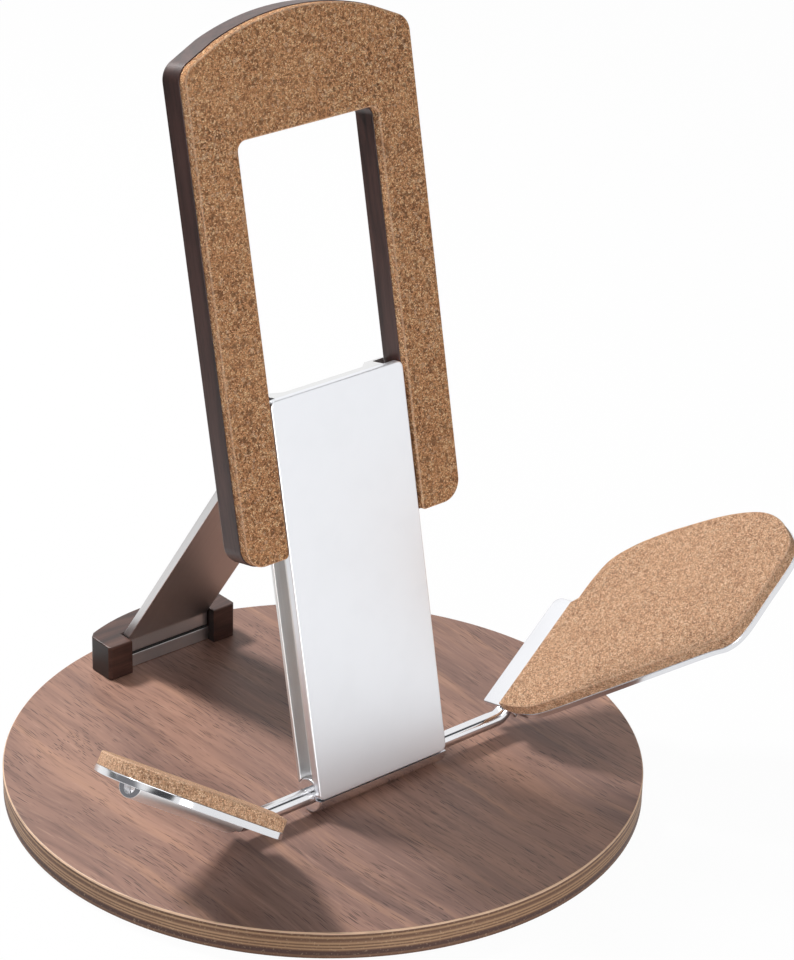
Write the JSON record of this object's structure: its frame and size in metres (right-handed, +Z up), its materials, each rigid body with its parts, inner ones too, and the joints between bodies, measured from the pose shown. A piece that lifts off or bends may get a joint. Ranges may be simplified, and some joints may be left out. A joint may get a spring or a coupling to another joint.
{
  "type": "folding guitar stand",
  "caption": "Low folding stand that holds a guitar body upright: round wooden base, hinged metal column with rear strut, sliding cork-faced yoke and flip-up cork leaves.",
  "frame": {"origin": "centre of the round base at the level of the surface that its rubber pads stand on", "axes": "+X to the right seen from the front, along the column hinge; +Y to the rear, towards the strut; +Z up"},
  "size_m": [0.3772, 0.3, 0.3722],
  "materials": {
    "walnut_ply": "walnut-faced plywood, satin lacquer, banded edge",
    "dark_walnut": "dark walnut, semi-gloss lacquer",
    "cork": "agglomerated cork",
    "brushed_aluminium": "fine bead-blasted, satin anodised",
    "satin_aluminium": "satin anodised",
    "polished_steel": "polished",
    "dark_steel": "plain machined",
    "zinc_screw": "zinc plated",
    "black_rubber": "matte",
    "black_plastic": "fine matte"
  },
  "bodies": {
    "base": {"base_board": "walnut_ply", "strut_holder": "dark_walnut", "holder_bar": "satin_aluminium", "arm_rod_left": "polished_steel", "arm_rod_right": "polished_steel", "hinge_bracket": "dark_steel", "arm_screw_left": "zinc_screw", "arm_screw_right": "zinc_screw", "bracket_screw_1": "zinc_screw", "bracket_screw_2": "zinc_screw", "holder_screw_1": "zinc_screw", "holder_screw_2": "zinc_screw", "holder_screw_3": "zinc_screw", "stop_pin_left": "zinc_screw", "stop_pin_right": "zinc_screw", "foot_pad_1": "black_rubber", "foot_pad_2": "black_rubber", "foot_pad_3": "black_rubber", "foot_pad_4": "black_rubber", "holder_pad": "black_rubber"},
    "column": {"column_extrusion": "satin_aluminium", "front_plate": "brushed_aluminium", "hinge_barrel": "polished_steel", "strut_pivot_rod": "polished_steel", "barrel_screw_1": "zinc_screw", "barrel_screw_2": "zinc_screw", "plate_screw_1": "zinc_screw", "plate_screw_2": "zinc_screw", "plate_screw_3": "zinc_screw", "plate_screw_4": "zinc_screw"},
    "strut": {"strut_plate": "satin_aluminium"},
    "yoke": {"yoke_frame": "dark_walnut", "yoke_cork": "cork", "yoke_glide_left": "black_plastic", "yoke_glide_right": "black_plastic", "glide_screw_left_1": "zinc_screw", "glide_screw_left_2": "zinc_screw", "glide_screw_right_1": "zinc_screw", "glide_screw_right_2": "zinc_screw"},
    "leaf_left": {"leaf_plate_left": "brushed_aluminium", "leaf_cork_left": "cork", "leaf_grub_left": "zinc_screw"},
    "leaf_right": {"leaf_plate_right": "brushed_aluminium", "leaf_cork_right": "cork", "leaf_grub_right": "zinc_screw"}
  },
  "joints": [
    {"name": "column_fold", "type": "hinge", "parent": "base", "child": "column", "pos_m": [0, -0.0361, 0.0238], "axis": [1, 0, 0], "range_deg": [0, 96]},
    {"name": "strut_fold", "type": "hinge", "parent": "column", "child": "strut", "pos_m": [0, 0.00457, 0.19306], "axis": [-1, 0, 0], "range_deg": [0, 45.6]},
    {"name": "yoke_slide", "type": "slide", "parent": "column", "child": "yoke", "axis": [0, 0.2045, 0.9789], "range_m": [-0.095, 0.025]},
    {"name": "leaf_left_flip", "type": "hinge", "parent": "base", "child": "leaf_left", "pos_m": [-0.0775, -0.0361, 0.0238], "axis": [-0.8211, 0.1167, 0.5587], "range_deg": [0, 90]},
    {"name": "leaf_right_flip", "type": "hinge", "parent": "base", "child": "leaf_right", "pos_m": [0.0775, -0.0361, 0.0238], "axis": [-0.8211, -0.1167, -0.5587], "range_deg": [0, 90]}
  ],
  "couplings": [
    {"joint": "strut_fold", "follows": "column_fold", "ratio": 0.474}
  ]
}
